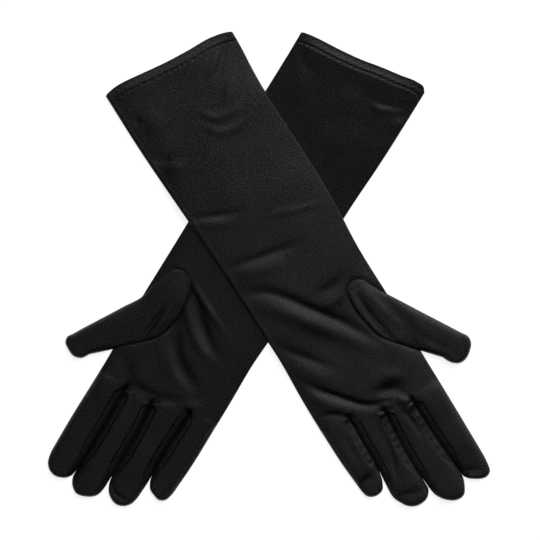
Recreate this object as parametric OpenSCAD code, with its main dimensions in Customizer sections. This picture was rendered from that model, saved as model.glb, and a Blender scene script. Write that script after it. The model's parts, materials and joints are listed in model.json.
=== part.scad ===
// A pair of opera gloves in stretch satin, empty, palms up and crossed.
// Each glove is drawn in its own flat frame, with x from the cuff to the
// fingertips and y from the little-finger side to the thumb side, and is then
// laid down: the right glove on the ground, the left glove across it.

/* [Cloth] */
// Thickness of the stretch satin
cloth = 0.5; // [0.4:0.05:0.6]
// Height of an empty glove, outside to outside
loft = 7; // [6.8:0.1:8]
// Width of the walls that close the sides (seam allowance and fourchettes)
wall = 1.2; // [0.8:0.1:1.6]
// Gap left between parts that move past each other
gap = 0.4; // [0.3:0.05:0.6]

/* [Pair] */
// Angle of each glove away from the pair's upright middle line
lie = 32; // [30:1:34]
// Middle of the right glove's cuff edge
cuff_right = [70.9, 156.8]; // [50:0.1:200]
// Middle of the left glove's cuff edge
cuff_left = [-73.6, 157.3]; // [-100:0.1:200]

/* [Cuff] */
// How far the cuff edge runs back on the little side and forward on the thumb side, right
slant_right = [-12, 2]; // [-14:1:6]
// The same for the left glove
slant_left = [-8, 3]; // [-14:1:6]
// Depth of the turned hem
hem_depth = 8; // [6:0.5:10]

/* [Hand] */
// Half width of the sleeve at the cuff
cuff_half = 53; // [52:0.5:54]
// Half width at the wrist on the thumb side
wrist_half = 48; // [47:0.5:49]
// Half width at the knuckles on the little side
knuckle_half = 52; // [51:0.5:53]
// Distance from the cuff to the narrowest place
wrist_at = 180; // [160:5:200]
// Where the thumb leaves the edge of the hand, and where it meets it again
thumb_span = [240, 287]; // [230:1:295]

/* [Fingers] */
// Right finger roots from the cuff, index to little
roots_right = [306, 306, 304, 298]; // [290:1:320]
// Right fingertips from the cuff, index to little
tips_right = [391.5, 394.5, 385, 365]; // [350:0.5:410]
// Left finger roots from the cuff, index to little
roots_left = [316, 314, 310, 303]; // [290:1:320]
// Left fingertips from the cuff, index to little
tips_left = [396.5, 400, 387.5, 364]; // [350:0.5:410]
// Length of the rounded end of a finger
tip_round = 13; // [10:1:16]

/* [Stitches] */
// Length of one stitch
stitch = 2.4; // [2:0.1:3]
// Distance from one stitch to the next
stitch_pitch = 3.6; // [3.2:0.1:5]
// Thickness of the thread
thread = 0.25; // [0.2:0.05:0.3]

/* [Hidden] */
RIGHT = 0;
LEFT = 1;
LOW = 0;
HIGH = 1;

satin = [0.06, 0.06, 0.07];
satin_light = [0.12, 0.12, 0.14];
thread_black = [0.2, 0.2, 0.22];

roots = [roots_right, roots_left];
tips = [tips_right, tips_left];
slants = [slant_right, slant_left];

// Lines between the fingers, from the index finger's outer edge to the little
// finger's: at the roots and at the tips of each glove
root_lines = [[45, 21.5, -1.5, -30.5, -knuckle_half], [45.5, 20.5, -2, -28.5, -knuckle_half]];
tip_lines = [[44, 20, -5.5, -32, -51.5], [44, 22, -5, -31.5, -50.5]];

// Edge of the hand and sleeve on each side, against the distance from the cuff
thumb_edge = [[-20, cuff_half], [60, cuff_half - 1.5], [wrist_at, wrist_half], [290, wrist_half],
    [306, 45.5]];
little_edge = [[-20, -cuff_half], [100, -cuff_half + 1], [wrist_at, -knuckle_half + 1],
    [300, -knuckle_half]];

// Free part of the thumb, from its upper root round the tip to its lower root
thumb_upper = [[[240, wrist_half + gap], [297, 80.5], [302, 78]],
    [[240, wrist_half + gap], [299, 83], [305, 79.5]]];
thumb_lower = [[[302, 78], [305.5, 70], [303.5, 63], [297, 58], [287, wrist_half + gap]],
    [[305, 79.5], [310.5, 71], [308.5, 63], [299, 56], [289, wrist_half + gap]]];

// The left glove rises over the right one: the lift is full out to over_flat
// from the right glove's middle line, and gone at over_flat + over_ramp
over_lift = loft + gap;
over_flat = 60;
over_ramp = 26;
// Beyond this distance from the cuff the left hand lies flat on the ground
flat_from = 266;
joining = 0.01;

// Rows of the raised sleeve, and its columns as shares of the width, with one
// at the inner face of each side wall
sleeve_rows = 44;
sleeve_columns = [0, wall / (2 * cuff_half), 0.2, 0.4, 0.6, 0.8, 1 - wall / (2 * cuff_half), 1];
// Clearance between a side wall and the layers over and under it
seat = 0.15;

// Turn of the left glove's frame about the vertical
turn = lie - 90;

// ---- Helpers ----

// Lays a glove's flat frame down on the ground, mirrored for the right hand
module lay(side) {
    if (side == RIGHT)
        mirror([1, 0, 0]) translate([-cuff_right.x, cuff_right.y, 0]) rotate([0, 0, turn]) children();
    else
        translate([cuff_left.x, cuff_left.y, 0]) rotate([0, 0, turn]) children();
}

function reversed(list) = [for (i = [len(list) - 1 : -1 : 0]) list[i]];
function smooth(t) = let (c = min(1, max(0, t))) c * c * (3 - 2 * c);
function mix(a, b, t) = a + (b - a) * t;

// Where the cuff edge is, on the line at y across the sleeve
function cuff_edge(side, y) = mix(slants[side][LOW], slants[side][HIGH], (y + cuff_half) / (2 * cuff_half));

// Distance of a point of the left glove from the right glove's middle line
function across_right(x, y) =
    let (p = cuff_left - cuff_right,
         u = [sin(lie), -cos(lie)],
         v = [cos(lie), sin(lie)],
         side_way = [-cos(lie), sin(lie)])
    (p + x * u + y * v) * side_way;

// How high the left glove is raised where it crosses the right one
function lift(side, x, y) = side == RIGHT ? 0
    : over_lift * smooth((over_flat + over_ramp - abs(across_right(x, y))) / over_ramp);

// Inner copy of an open path, moved to its left by d
function moved_in(path, d) = [for (i = [0 : len(path) - 1])
    let (before = path[max(0, i - 1)], here = path[i], after = path[min(len(path) - 1, i + 1)],
         a = i == 0 ? after - here : here - before,
         b = i == len(path) - 1 ? here - before : after - here,
         m = a / norm(a),
         n = b / norm(b))
    here + d * [-(m.y + n.y), m.x + n.x] / (1 + m * n)];

// A wall of cloth along an open path, between the two layers, to the path's left
module wall_along(side, path) {
    inner = moved_in(path, wall);
    count = len(path);
    low = cloth + seat;
    high = loft - cloth - seat;
    corners = [for (i = [0 : count - 1])
        let (z = lift(side, path[i].x, path[i].y), z_in = lift(side, inner[i].x, inner[i].y))
        each [[path[i].x, path[i].y, low + z], [inner[i].x, inner[i].y, low + z_in],
            [inner[i].x, inner[i].y, high + z_in], [path[i].x, path[i].y, high + z]]];
    sides = [for (i = [0 : count - 2], k = [0 : 3])
        [4 * i + k, 4 * i + 4 + k, 4 * i + 4 + (k + 1) % 4, 4 * i + (k + 1) % 4]];
    ends = [[0, 1, 2, 3], [4 * count - 1, 4 * count - 2, 4 * count - 3, 4 * count - 4]];
    polyhedron(points = corners, faces = concat(sides, ends));
}

// ---- Hand and sleeve ----

function edge_y(edge, x) = lookup(x, edge);

// Points along one edge of the sleeve and hand, from the first distance to the second
function edge_path(edge, from, to, steps) = [for (i = [0 : steps])
    let (x = mix(from, to, i / steps)) [x, edge_y(edge, x)]];

// The same, with a point at each row of the raised sleeve
function row_path(side, edge, which, from, to) =
    let (rows = [for (i = [1 : sleeve_rows]) mix(slants[side][which], flat_from, i / sleeve_rows)])
    [for (x = concat([from], [for (x = rows) if (x > from + 1 && x < to - 1) x], [to])) [x, edge_y(edge, x)]];

// Outline of a trank panel from a distance on the little side and one on the
// thumb side to the finger roots, with one step per finger root
function trank_outline(side, from_low, from_high) = concat(
    edge_path(little_edge, from_low, roots[side][3] - gap, 10),
    [for (i = [3 : -1 : 1]) each [[roots[side][i] - gap, root_lines[side][i]],
        [roots[side][i - 1] - gap, root_lines[side][i]]]],
    [[roots[side][0] - gap, root_lines[side][0]]],
    reversed(edge_path(thumb_edge, from_high, roots[side][0] - 12, 10)));

// Sleeve from the cuff to a given distance, as a raised sheet of cloth
module raised_sleeve(side, bottom, to) {
    columns = len(sleeve_columns);
    grid = [for (i = [0 : sleeve_rows], share = sleeve_columns)
        let (y0 = mix(-cuff_half, cuff_half, share),
             x = mix(cuff_edge(side, y0), to, i / sleeve_rows),
             y = mix(edge_y(little_edge, x), edge_y(thumb_edge, x), share))
        [x, y, bottom + lift(side, x, y)]];
    count = len(grid);
    points = concat(grid, [for (p = grid) p + [0, 0, cloth]]);
    cells = [for (i = [0 : sleeve_rows - 1], j = [0 : columns - 2]) i * columns + j];
    under = [for (c = cells) each [[c, c + columns, c + columns + 1], [c, c + columns + 1, c + 1]]];
    over = [for (f = under) [for (k = [2 : -1 : 0]) f[k] + count]];
    rim = concat([for (j = [0 : columns - 1]) j],
        [for (i = [1 : sleeve_rows]) i * columns + columns - 1],
        [for (j = [columns - 2 : -1 : 0]) sleeve_rows * columns + j],
        [for (i = [sleeve_rows - 1 : -1 : 1]) i * columns]);
    ring = len(rim);
    edges = [for (k = [0 : ring - 1]) let (a = rim[k], b = rim[(k + 1) % ring])
        each [[a, b, b + count], [a, b + count, a + count]]];
    polyhedron(points = points, faces = concat(under, over, edges));
}

// One layer of the trank, from the cuff to the finger roots
module trank_layer(side, bottom) {
    flat_low = side == LEFT ? flat_from : slants[side][LOW];
    flat_high = side == LEFT ? flat_from : slants[side][HIGH];
    if (side == LEFT)
        raised_sleeve(side, bottom, flat_from + joining);
    translate([0, 0, bottom]) linear_extrude(cloth) polygon(trank_outline(side, flat_low, flat_high));
}

// Oval of the thumb gusset, open to the edge of the hand where the thumb leaves it
gusset_middle = [[233, 31], [239, 32]];
gusset_radii = [27, 14.5];
function gusset_outline(side, grow) = concat(
    [for (a = [100 : 20 : 320]) gusset_middle[side]
        + [(gusset_radii.x + grow) * cos(a), (gusset_radii.y + grow) * sin(a)]],
    [[gusset_middle[side].x + gusset_radii.x + 6, 28 - grow], [thumb_span[1] + grow, wrist_half],
        [thumb_span[0], wrist_half]]);

module palm_panel(side) color(satin) lay(side) difference() {
    trank_layer(side, loft - cloth);
    translate([0, 0, loft - 2 * cloth]) linear_extrude(loft) polygon(gusset_outline(side, 0));
}

module back_panel(side) color(satin) lay(side) trank_layer(side, 0);

module folded_edge(side) color(satin_light) lay(side) {
    wall_along(side, reversed(row_path(side, thumb_edge, HIGH, slants[side][HIGH] + hem_depth,
        thumb_span[0] - 2)));
    wall_along(side, reversed(edge_path(thumb_edge, thumb_span[1] + 4, roots[side][0] - 14, 2)));
}

module side_seam(side) color(satin_light) lay(side)
    wall_along(side, row_path(side, little_edge, LOW, slants[side][LOW] + hem_depth, roots[side][3] - gap));

// ---- Hem ----

// Band of cloth turned in at the cuff
module hem_band(side, bottom) translate([0, 0, bottom]) linear_extrude(cloth)
    polygon([for (c = [[0, LOW, -1], [hem_depth, LOW, -1], [hem_depth, HIGH, 1], [0, HIGH, 1]])
        [slants[side][c[1]] + c[0], c[2] * (cuff_half - 2 * wall)]]);

module hem_palm_side(side) color(satin_light) lay(side) hem_band(side, loft - 2 * cloth);

module hem_back_side(side) color(satin_light) lay(side) hem_band(side, cloth);

// One straight row of stitches across the sleeve at a given height
module stitch_row(side, bottom) {
    reach = cuff_half - 4;
    for (y = [-reach : stitch_pitch : reach - stitch])
        translate([cuff_edge(side, y) + hem_depth - 1, y, bottom]) cube([thread, stitch, thread]);
}

module hem_stitching(side) color(thread_black) lay(side) {
    stitch_row(side, loft);
    stitch_row(side, 2 * cloth);
}

// ---- Thumb ----

module thumb_gusset(side) color(satin_light) lay(side)
    translate([0, 0, loft - cloth]) linear_extrude(cloth) polygon(gusset_outline(side, -0.1));

module gusset_stitching(side) color(thread_black) lay(side) {
    seam = gusset_outline(side, -1.2);
    for (i = [0 : len(seam) - 4])
        let (a = seam[i], step = seam[i + 1] - a, count = floor(norm(step) / stitch_pitch))
        for (k = [0 : count - 1])
            translate([a.x, a.y, loft] + [step.x, step.y, 0] * (k + 0.2) / count)
                rotate([0, 0, atan2(step.y, step.x)]) cube([stitch, thread, thread]);
}

// Flat outline of the free thumb
module thumb_layer(side, bottom) translate([0, 0, bottom]) linear_extrude(cloth)
    polygon(concat(thumb_upper[side], thumb_lower[side]));

module thumb_front(side) color(satin) lay(side) thumb_layer(side, loft - cloth);

module thumb_back(side) color(satin) lay(side) thumb_layer(side, 0);

module thumb_fold(side) color(satin_light) lay(side)
    wall_along(side, reversed(thumb_upper[side]));

// The seam stops short of the tip, where the fold begins
module thumb_seam(side) color(satin_light) lay(side) {
    tip = mix(thumb_lower[side][0], thumb_lower[side][1], 0.25);
    wall_along(side, concat(reversed([for (i = [1 : 4]) thumb_lower[side][i]]), [tip]));
}

// ---- Fingers ----

// Edge of a finger at a distance between its root (0) and its tip (1)
function finger_line(side, line, t) = mix(root_lines[side][line], tip_lines[side][line], t);

// Half of a finger's outline, from its root round its tip to a given angle: 90 is the tip's middle
function finger_half(side, finger, which, last = 90) =
    let (root = roots[side][finger] + gap,
         tip = tips[side][finger],
         low = [for (t = [0, 1]) finger_line(side, finger + 1, t) + gap],
         high = [for (t = [0, 1]) finger_line(side, finger, t) - gap],
         middle = (low[1] + high[1]) / 2,
         half = (high[1] - low[1]) / 2 * (which == LOW ? -1 : 1))
    concat([[root, which == LOW ? low[0] : high[0]]],
        [for (a = [0, 15, 30, 45, 60, 75, last])
            [tip - tip_round + tip_round * sin(a), middle + half * cos(a)]]);

module finger_layer(side, finger, bottom) translate([0, 0, bottom]) linear_extrude(cloth)
    polygon(concat(finger_half(side, finger, LOW), reversed(finger_half(side, finger, HIGH))));

module finger_front(side, finger) color(satin) lay(side) finger_layer(side, finger, loft - cloth);

module finger_back(side, finger) color(satin) lay(side) finger_layer(side, finger, 0);

// Side wall of a finger: a fourchette between two fingers, or an outer fold or seam.
// The walls of one finger end just before they would meet at the tip.
module finger_wall(side, finger, which) color(satin_light) lay(side)
    wall_along(side, which == LOW ? finger_half(side, finger, LOW, 86)
        : reversed(finger_half(side, finger, HIGH, 86)));

// ---- Nodes ----

palm_panel(RIGHT);  // right_palm_panel
back_panel(RIGHT);  // right_back_panel
folded_edge(RIGHT);  // right_folded_edge
side_seam(RIGHT);  // right_side_seam
hem_palm_side(RIGHT);  // right_hem_palm_side
hem_back_side(RIGHT);  // right_hem_back_side
hem_stitching(RIGHT);  // right_hem_stitching
thumb_gusset(RIGHT);  // right_thumb_gusset
gusset_stitching(RIGHT);  // right_gusset_stitching
thumb_front(RIGHT);  // right_thumb_front
thumb_back(RIGHT);  // right_thumb_back
thumb_fold(RIGHT);  // right_thumb_fold
thumb_seam(RIGHT);  // right_thumb_seam
finger_front(RIGHT, 0);  // right_index_front
finger_back(RIGHT, 0);  // right_index_back
finger_wall(RIGHT, 0, HIGH);  // right_index_fold
finger_wall(RIGHT, 0, LOW);  // right_index_fourchette
finger_front(RIGHT, 1);  // right_middle_front
finger_back(RIGHT, 1);  // right_middle_back
finger_wall(RIGHT, 1, HIGH);  // right_middle_fourchette_index_side
finger_wall(RIGHT, 1, LOW);  // right_middle_fourchette_ring_side
finger_front(RIGHT, 2);  // right_ring_front
finger_back(RIGHT, 2);  // right_ring_back
finger_wall(RIGHT, 2, HIGH);  // right_ring_fourchette_middle_side
finger_wall(RIGHT, 2, LOW);  // right_ring_fourchette_little_side
finger_front(RIGHT, 3);  // right_little_front
finger_back(RIGHT, 3);  // right_little_back
finger_wall(RIGHT, 3, HIGH);  // right_little_fourchette
finger_wall(RIGHT, 3, LOW);  // right_little_seam
palm_panel(LEFT);  // left_palm_panel
back_panel(LEFT);  // left_back_panel
folded_edge(LEFT);  // left_folded_edge
side_seam(LEFT);  // left_side_seam
hem_palm_side(LEFT);  // left_hem_palm_side
hem_back_side(LEFT);  // left_hem_back_side
hem_stitching(LEFT);  // left_hem_stitching
thumb_gusset(LEFT);  // left_thumb_gusset
gusset_stitching(LEFT);  // left_gusset_stitching
thumb_front(LEFT);  // left_thumb_front
thumb_back(LEFT);  // left_thumb_back
thumb_fold(LEFT);  // left_thumb_fold
thumb_seam(LEFT);  // left_thumb_seam
finger_front(LEFT, 0);  // left_index_front
finger_back(LEFT, 0);  // left_index_back
finger_wall(LEFT, 0, HIGH);  // left_index_fold
finger_wall(LEFT, 0, LOW);  // left_index_fourchette
finger_front(LEFT, 1);  // left_middle_front
finger_back(LEFT, 1);  // left_middle_back
finger_wall(LEFT, 1, HIGH);  // left_middle_fourchette_index_side
finger_wall(LEFT, 1, LOW);  // left_middle_fourchette_ring_side
finger_front(LEFT, 2);  // left_ring_front
finger_back(LEFT, 2);  // left_ring_back
finger_wall(LEFT, 2, HIGH);  // left_ring_fourchette_middle_side
finger_wall(LEFT, 2, LOW);  // left_ring_fourchette_little_side
finger_front(LEFT, 3);  // left_little_front
finger_back(LEFT, 3);  // left_little_back
finger_wall(LEFT, 3, HIGH);  // left_little_fourchette
finger_wall(LEFT, 3, LOW);  // left_little_seam
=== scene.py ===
# %% [markdown]
# # A pair of opera gloves
# Two long gloves of black stretch satin lie crossed on a white table, palms up. They are limp cloth, so
# nearly everything here is one idea used again and again: a sheet of cloth is a grid of points, and its
# height over the table is a sum of a few plain shapes, such as an edge that rounds over, a fold, or a seam.
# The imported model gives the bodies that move, the places of the hinges and the box to stay inside.

# %% Load the frame
import json
import math

import bpy
import numpy as np
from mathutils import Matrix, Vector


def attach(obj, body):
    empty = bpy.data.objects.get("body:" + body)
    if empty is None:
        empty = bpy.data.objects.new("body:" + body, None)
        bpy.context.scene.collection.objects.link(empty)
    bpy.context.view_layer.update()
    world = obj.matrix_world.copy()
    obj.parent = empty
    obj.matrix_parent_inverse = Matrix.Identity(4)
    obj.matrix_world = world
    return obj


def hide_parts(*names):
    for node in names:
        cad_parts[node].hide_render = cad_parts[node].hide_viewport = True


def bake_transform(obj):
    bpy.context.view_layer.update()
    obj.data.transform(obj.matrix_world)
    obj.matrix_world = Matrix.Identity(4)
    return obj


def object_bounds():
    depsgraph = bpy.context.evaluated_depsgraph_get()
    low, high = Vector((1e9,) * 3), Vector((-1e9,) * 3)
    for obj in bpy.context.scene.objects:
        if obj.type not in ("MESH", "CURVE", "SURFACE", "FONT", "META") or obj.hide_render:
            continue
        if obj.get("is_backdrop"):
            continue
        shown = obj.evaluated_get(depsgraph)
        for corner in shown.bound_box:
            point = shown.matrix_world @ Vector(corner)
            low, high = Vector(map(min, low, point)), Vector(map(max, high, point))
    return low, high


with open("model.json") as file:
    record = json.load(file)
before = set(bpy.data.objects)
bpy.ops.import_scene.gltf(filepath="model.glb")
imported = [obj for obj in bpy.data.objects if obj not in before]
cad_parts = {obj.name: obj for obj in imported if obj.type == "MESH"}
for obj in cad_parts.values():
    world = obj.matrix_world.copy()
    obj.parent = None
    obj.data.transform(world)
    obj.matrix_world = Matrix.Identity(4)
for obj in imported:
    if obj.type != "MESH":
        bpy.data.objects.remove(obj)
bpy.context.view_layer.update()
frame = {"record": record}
record = frame["record"]
MM = 0.001

# %% [markdown]
# ## Two flat frames
# A glove is easiest to draw flat: u runs from the cuff to the fingertips and v runs across, growing towards
# the thumb, both in millimetres. The two cuff openings in the record give the place and the direction of
# each sleeve. The right glove is the mirror image of the left, so its v axis turns the other way.

# %% Flat frames
SIDES = ("right", "left")
MOUTH_SETBACK = {"right": 5.0, "left": 3.0}  # the opening's mark is this far outside the line u = 0
mounts = {mount["name"]: mount for mount in record["mounts"]}
ORIGIN, ALONG, ACROSS = {}, {}, {}
for side in SIDES:
    mouth = mounts[f"{side}_cuff_opening"]
    ALONG[side] = -np.array(mouth["axis"][:2])
    ORIGIN[side] = np.array(mouth["pos_m"][:2]) / MM + MOUTH_SETBACK[side] * ALONG[side]
    turn = 1 if side == "left" else -1
    ACROSS[side] = turn * np.array([-ALONG[side][1], ALONG[side][0]])


def to_world(side, u, v, z):
    """Place in metres of the flat point (u, v) at height z: origin plus u along plus v across."""
    xy = ORIGIN[side] + u[..., None] * ALONG[side] + v[..., None] * ACROSS[side]
    return np.concatenate([xy, z[..., None]], -1) * MM


def distance_from_lower_glove(u, v):
    """How far a point of the left glove lies from the right glove's middle line, in millimetres."""
    xy = ORIGIN["left"] + u[..., None] * ALONG["left"] + v[..., None] * ACROSS["left"]
    return (xy - ORIGIN["right"]) @ ACROSS["right"]


print({side: ORIGIN[side].round(1).tolist() for side in SIDES})

# %% [markdown]
# ## Small tools for curves
# smoothstep eases between 0 and 1. A smooth curve through a few points is a cubic Hermite curve whose
# slopes are the differences between neighbouring points, which is enough for the outline of a hand.

# %% Curve tools
def smoothstep(t):
    t = np.clip(t, 0.0, 1.0)
    return t * t * (3 - 2 * t)


def mix(a, b, t):
    return a + (b - a) * t


def curve(points, x):
    """Value at x of a smooth curve through (x, y) points: cubic Hermite with central slopes."""
    px, py = np.array(points, float).T
    slope = np.gradient(py, px)
    i = np.clip(np.searchsorted(px, x) - 1, 0, len(px) - 2)
    h = px[i + 1] - px[i]
    t = np.clip((x - px[i]) / h, 0.0, 1.0)
    rise = (2 * t**3 - 3 * t**2 + 1) * py[i] + (3 * t**2 - 2 * t**3) * py[i + 1]
    return rise + h * ((t**3 - 2 * t**2 + t) * slope[i] + (t**3 - t**2) * slope[i + 1])


def path_through(points, count):
    """Points spaced evenly in chord length on a smooth path through the given (u, v) points."""
    points = np.array(points, float)
    chord = np.concatenate([[0.0], np.cumsum(np.linalg.norm(np.diff(points, axis=0), axis=1))])
    at = np.linspace(0.0, chord[-1], count)
    return np.stack([curve(np.stack([chord, points[:, k]], 1), at) for k in (0, 1)], 1)


# %% [markdown]
# ## The outline of each glove
# The two gloves are the same pattern, but each lies in its own way. Every list below is a curve through a
# few points in the glove's flat frame. Neighbouring fingers share the line between them, and the outline
# of each fingertip is given from its low side to its high side.

# %% Outlines
CUFF_EDGE = {
    "right": [(-54, -8), (-50, -12), (-45, -12.5), (-30, -10), (-12, -7), (0, -4.5), (20, -2), (42, 0),
              (53, 2)],
    "left": [(-56, -7), (-45, -8.5), (-38, -8.2), (-28, -7), (0, -3.6), (15, -2.6), (38, -1.6), (47, 0.4),
             (54, 3)],
}
THUMB_EDGE = {
    "right": [(-14, 52), (10, 51.3), (52, 51), (172, 48), (240, 47.5), (285, 46.5), (310, 45)],
    "left": [(-10, 53), (8, 52.5), (30, 50.7), (150, 50), (185, 47.3), (237, 47), (287, 46), (316, 45.5)],
}
LITTLE_EDGE = {
    "right": [(-14, -53), (60, -53), (100, -51.7), (218, -53), (250, -51.7), (298, -52.5)],
    "left": [(-10, -55.5), (45, -55.3), (107, -53), (150, -51), (220, -50), (240, -49.7), (303, -51.5)],
}
ROOT_LINE = {
    "right": [(-53, 297), (-30.5, 297), (-1.5, 305), (21.5, 307), (45, 309)],
    "left": [(-52, 303), (-28, 304), (-2, 313), (20.5, 318), (45.5, 318)],
}
# Lines between the fingers as (u, v), from the index finger's outer edge to the little finger's
FINGER_LINES = {
    "right": [[(309, 45), (350, 44.8), (378, 44)],
              [(307, 21.5), (345, 20.3), (380, 20.2)],
              [(305, -1.5), (320, -3.4), (345, -4.7), (368, -5.3), (380, -5.6)],
              [(297, -30.5), (330, -30), (345, -30.4), (355, -31.5), (370, -31.3)],
              [(297, -53), (330, -53.3), (352, -52.4)]],
    "left": [[(318, 45.5), (350, 45), (380, 44.4)],
             [(318, 20.5), (350, 20.6), (365, 21.3), (382, 22.6)],
             [(313, -2), (330, -3.8), (345, -4.8), (360, -5.2), (380, -4.4)],
             [(303, -28), (320, -28.7), (345, -29.6), (358, -31), (369, -32)],
             [(303, -51.7), (330, -51.3), (350, -50)]],
}
FINGERS = ("index", "middle", "ring", "little")
# Where the rounded end of each finger starts, and its outline (v, u) from its low side to its high side
SHOULDER = {"right": (376, 378, 368, 352), "left": (380, 380, 369, 349)}
TIP_OUTLINE = {
    "right": ([(21.3, 384.5), (23.5, 388), (27, 390.2), (32, 391.5), (37.5, 390), (41.5, 386), (43.3, 381)],
              [(-4.6, 384), (-3.2, 387.5), (-0.5, 390.3), (3, 392.4), (7, 394), (11, 394.3), (14, 392.8),
               (17, 390), (19.2, 385.8)],
              [(-30.8, 373), (-29, 379.5), (-25, 383.6), (-20, 385.2), (-15, 384), (-10, 380.2), (-7, 374.5)],
              [(-51.6, 358.5), (-50, 362.5), (-46, 365), (-41, 364), (-36, 361.6), (-33.2, 357.3)]),
    "left": ([(23, 386.5), (25, 390), (29, 393.2), (34, 396), (38, 396.6), (41.5, 395), (43.6, 388.5)],
             [(-3.2, 387), (-0.5, 392.3), (3, 396.2), (7, 399), (11.5, 400.1), (15.5, 399.2), (19, 394.6),
              (21.7, 388)],
             [(-31.3, 373), (-29, 378.5), (-26, 383.3), (-20.5, 387), (-15.5, 387.6), (-10, 386.3), (-6, 382)],
             [(-49.5, 356), (-48, 361), (-45, 363.3), (-40, 364.2), (-36, 363), (-33, 358.5)]),
}
FINGER_TIP = {side: [max(u for _, u in outline) for outline in TIP_OUTLINE[side]] for side in ("right", "left")}

# Thumb: pairs of points on its upper edge and on its lower edge, from the top of the oval to the tip
THUMB_UPPER = {
    "right": [(206, 31), (209, 38.5), (217, 42.5), (228, 45.2), (240, 48), (253, 55.5), (266, 63), (276, 68.8),
              (285, 74), (291.5, 77.6)],
    "left": [(214, 30), (217, 36), (224, 40), (232, 44), (240, 48.8), (254, 57), (267, 64.6), (277, 70.5),
             (285, 75.2), (292, 79.3)],
}
THUMB_LOWER = {
    "right": [(206, 31), (209, 23.5), (217, 18.5), (230, 16.3), (246, 17), (258, 20.5), (268, 29), (278, 39),
              (287.5, 48), (298, 58.8)],
    "left": [(214, 30), (217.5, 24), (225, 20.8), (235, 20.3), (248, 21.8), (260, 24.6), (269, 30.5), (279, 39),
             (289, 47.5), (301, 58)],
}
THUMB_TIP = {
    "right": [(296.5, 80.3), (300, 79.4), (303.6, 74.5), (305.8, 68), (304.3, 63.2)],
    "left": [(298.6, 82.8), (303, 82), (308, 77.5), (311.3, 72), (311.6, 67), (309, 62.5), (305, 59.6)],
}

print("longest finger ends at", {side: max(FINGER_TIP[side]) for side in SIDES}, "mm")

# %% [markdown]
# ## Folds
# A fold in soft cloth is a ridge or a valley that runs along a curve, is deepest in the middle and dies out
# at its ends. Its height is a bell curve of the distance from the path. Each row is the height in
# millimetres (negative for a valley), the width of the bell, and the path in the glove's flat frame.

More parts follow.
